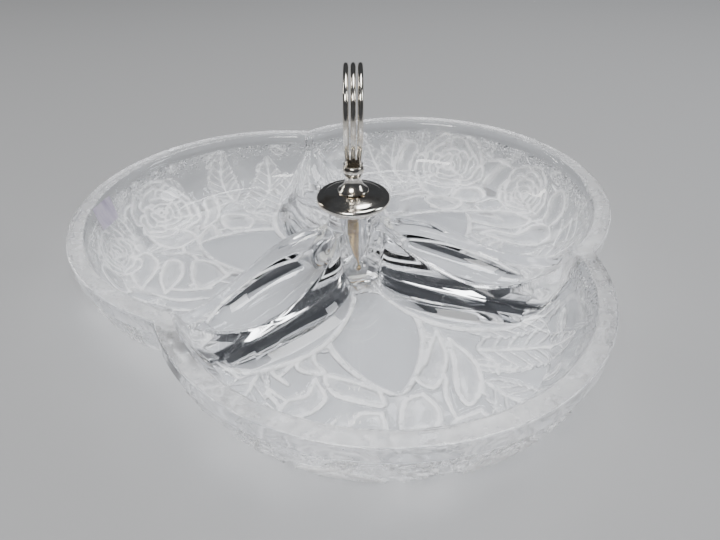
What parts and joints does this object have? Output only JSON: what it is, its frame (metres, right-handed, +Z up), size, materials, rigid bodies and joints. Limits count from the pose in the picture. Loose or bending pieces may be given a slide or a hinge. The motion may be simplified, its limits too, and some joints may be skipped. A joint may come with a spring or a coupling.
{
  "type": "chip and dip server",
  "caption": "Three-lobed pressed glass serving dish with leaf-shaped divider troughs and a screw-on silver-plated loop handle at its centre.",
  "frame": {"origin": "under the middle of the dish's box, on the surface it stands on", "axes": "+Z up; +X along the longest side; one lobe points to -Y; the hub axis is parallel to Z, 12.2 mm to the +Y side of the origin"},
  "size_m": [0.2942, 0.2832, 0.1213],
  "materials": {
    "clear_glass": "polished inside, pressed relief outside",
    "clear_vinyl": "soft satin",
    "steel": "zinc plated",
    "brass": "turned, slightly tarnished",
    "silver_plate": "polished silver plate",
    "label": "blank foil sticker"
  },
  "bodies": {
    "dish": {"glass_dish": "clear_glass", "upper_gasket": "clear_vinyl", "lower_gasket": "clear_vinyl", "lower_washer": "steel", "fluted_nut": "brass", "blank_label": "label"},
    "cap": {"cap_backing_plate": "silver_plate", "cap_disc": "silver_plate"},
    "handle": {"threaded_stud": "brass", "handle_neck": "silver_plate", "bead_collar": "silver_plate", "loop_wire_left": "silver_plate", "loop_wire_middle": "silver_plate", "loop_wire_right": "silver_plate"}
  },
  "joints": [
    {"name": "handle_lift", "type": "slide", "parent": "dish", "child": "cap", "axis": [0, 0, 1], "range_m": [0, 0.004]},
    {"name": "handle_unscrew", "type": "hinge", "parent": "cap", "child": "handle", "pos_m": [0, 0.0122, 0.06], "axis": [0, 0, 1], "range_deg": [0, 1440]}
  ],
  "couplings": [
    {"joint": "handle_unscrew", "follows": "handle_lift", "rad_per_m": 6283.2}
  ]
}
